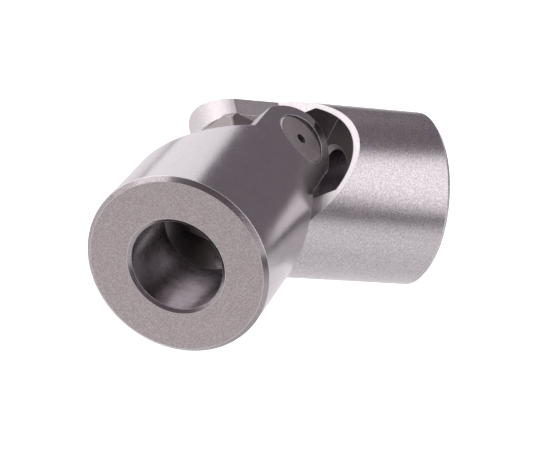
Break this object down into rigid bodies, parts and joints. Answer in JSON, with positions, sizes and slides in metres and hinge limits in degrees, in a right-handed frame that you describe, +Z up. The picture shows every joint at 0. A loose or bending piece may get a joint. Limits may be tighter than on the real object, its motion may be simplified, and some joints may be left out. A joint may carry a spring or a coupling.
{
  "type": "universal joint",
  "caption": "Single universal joint with plain bearings: two forked hubs with round bores, hinged on a centre block by crossed pins, to link two shafts at an angle.",
  "frame": {"origin": "middle of the front hub's end face, at the mouth of its bore", "axes": "-Y out of the front bore along the front hub's axis; both hub axes lie in the XY plane; +Z up"},
  "size_m": [0.0526, 0.066, 0.032],
  "materials": {
    "front_hub_steel": "ground and turned, satin",
    "rear_hub_steel": "turned, fine matt grain",
    "block_steel": "hardened and ground, darker than the hubs",
    "pin_steel": "hardened and ground, turned ends",
    "rivet_steel": "soft steel, peened ends"
  },
  "bodies": {
    "front_yoke": {"front_yoke": "front_hub_steel"},
    "cross": {"centre_block": "block_steel", "long_pin": "pin_steel", "upper_short_pin": "pin_steel", "lower_short_pin": "pin_steel", "lock_rivet": "rivet_steel"},
    "rear_yoke": {"rear_yoke": "rear_hub_steel"}
  },
  "joints": [
    {"name": "front_fork_swing", "type": "hinge", "parent": "front_yoke", "child": "cross", "pos_m": [0, 0.034, 0], "axis": [0.5237, 0, 0.8519], "range_deg": [-0.2, 102.6]},
    {"name": "rear_fork_swing", "type": "hinge", "parent": "cross", "child": "rear_yoke", "pos_m": [0, 0.034, 0], "axis": [-0.5338, 0.7793, 0.3282], "range_deg": [-0.2, 51.4]}
  ]
}
